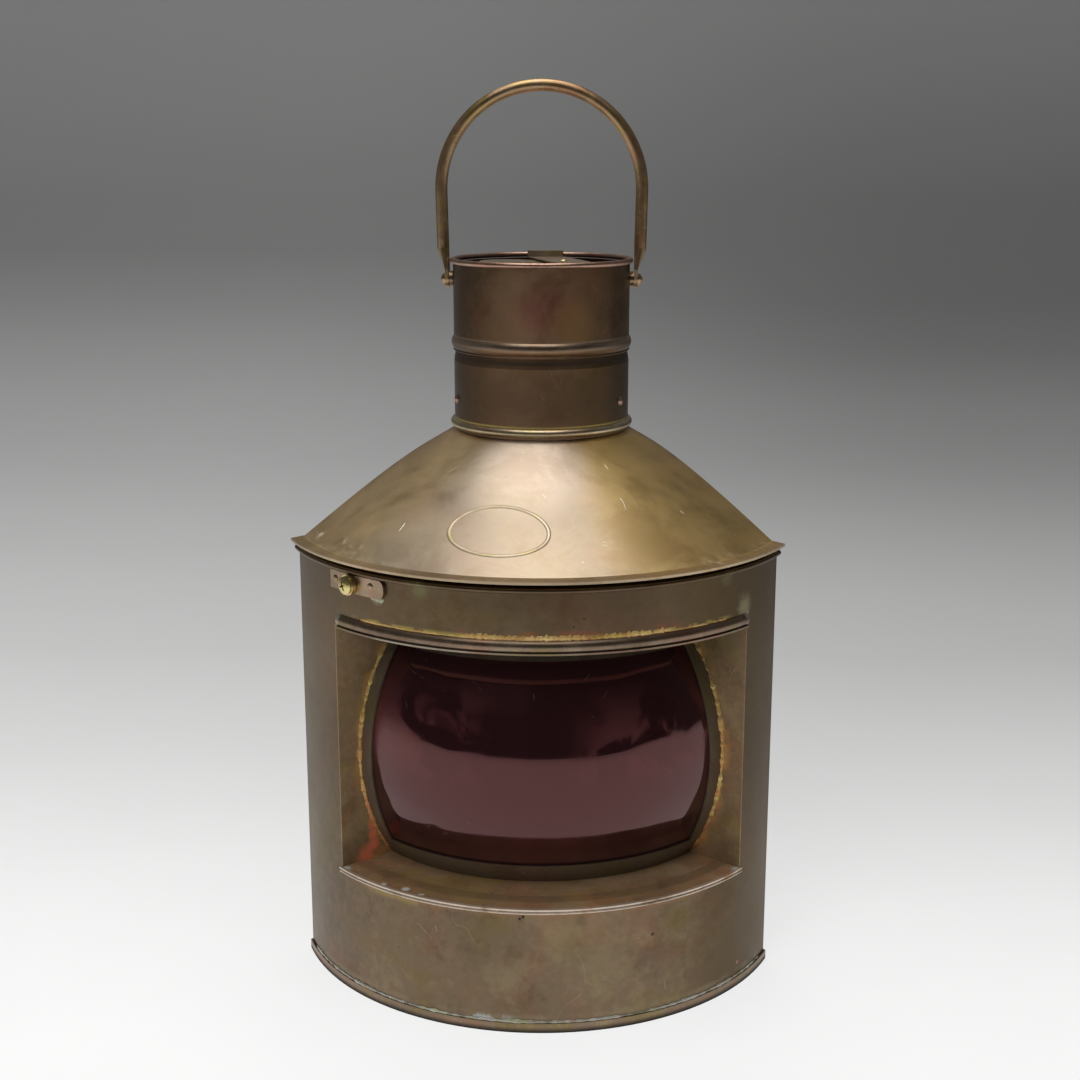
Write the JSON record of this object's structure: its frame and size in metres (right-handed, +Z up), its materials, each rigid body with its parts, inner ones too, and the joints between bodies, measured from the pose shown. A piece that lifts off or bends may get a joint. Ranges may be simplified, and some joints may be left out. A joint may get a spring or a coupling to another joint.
{
  "type": "ship's side lantern",
  "caption": "Corner ship's lantern in brass with a barrel-shaped red lens, hinged conical lid with a chimney, swinging bail and an oil lamp inside.",
  "frame": {"origin": "on the lamp's vertical axis, through the middle of the chimney, at the underside of the base pan", "axes": "+Z up, -Y out of the curved front with the window, +X to the right as seen from the front"},
  "size_m": [0.2476, 0.207, 0.4521],
  "materials": {
    "body_brass": "dull olive-brown patina with solder stains",
    "roof_brass": "satin, rubbed, light olive tan",
    "chimney_brass": "dark brown patina",
    "bright_brass": "yellow brass, lightly worn",
    "pale_brass": "pale, heat-bleached sheet",
    "red_glass": "deep red, smooth",
    "wick_cotton": "woven cotton"
  },
  "bodies": {
    "lantern": {"front_wall": "body_brass", "left_back_plate": "body_brass", "right_back_plate": "body_brass", "base_pan": "body_brass", "top_rim": "body_brass", "window_head": "body_brass", "window_sill": "body_brass", "left_cheek": "body_brass", "right_cheek": "body_brass", "lens_bezel": "body_brass", "lens_glass": "red_glass", "lens_clips": "bright_brass", "lock_plate": "bright_brass", "lock_plate_rivets": "bright_brass", "lock_washer": "bright_brass", "lock_screw": "bright_brass", "lock_nut": "bright_brass", "body_hinge_leaf": "bright_brass", "body_hinge_rivets": "chimney_brass", "hinge_pin": "chimney_brass", "font_seat_ring": "body_brass", "oil_font": "body_brass", "font_collar": "bright_brass", "burner_body": "bright_brass", "wick_tube": "bright_brass", "flame_deflector": "bright_brass"},
    "lid": {"roof_cone": "roof_brass", "left_roof_back_plate": "roof_brass", "right_roof_back_plate": "roof_brass", "lid_skirt": "body_brass", "lid_hinge_leaf": "bright_brass", "lid_hinge_rivets": "chimney_brass", "chimney_lower_tube": "chimney_brass", "chimney_base_ring": "roof_brass", "chimney_rivets": "chimney_brass", "chimney_upper_tube": "chimney_brass", "chimney_rim": "chimney_brass", "baffle_plate": "pale_brass", "baffle_strap": "pale_brass", "baffle_rivet": "bright_brass", "bail_spacers": "bright_brass", "bail_rivets": "chimney_brass"},
    "bail": {"bail_handle": "roof_brass"},
    "wick": {"wick": "wick_cotton"},
    "winder": {"wick_shaft": "bright_brass", "winder_knob": "bright_brass"}
  },
  "joints": [
    {"name": "lid_hinge", "type": "hinge", "parent": "lantern", "child": "lid", "pos_m": [0.03748, 0.03748, 0.224], "axis": [-0.7071, 0.7071, 0], "range_deg": [0, 160]},
    {"name": "bail_swing", "type": "hinge", "parent": "lid", "child": "bail", "pos_m": [0, 0, 0.353], "axis": [1, 0, 0], "range_deg": [-144, 144]},
    {"name": "winder_turn", "type": "hinge", "parent": "lantern", "child": "winder", "pos_m": [0, 0.0058, 0.0702], "axis": [-1, 0, 0], "range_deg": [-42, 85]},
    {"name": "wick_lift", "type": "slide", "parent": "lantern", "child": "wick", "axis": [0, 0, 1], "range_m": [-0.003, 0.006]}
  ],
  "couplings": [
    {"joint": "wick_lift", "follows": "winder_turn", "m_per_rad": 0.004}
  ]
}
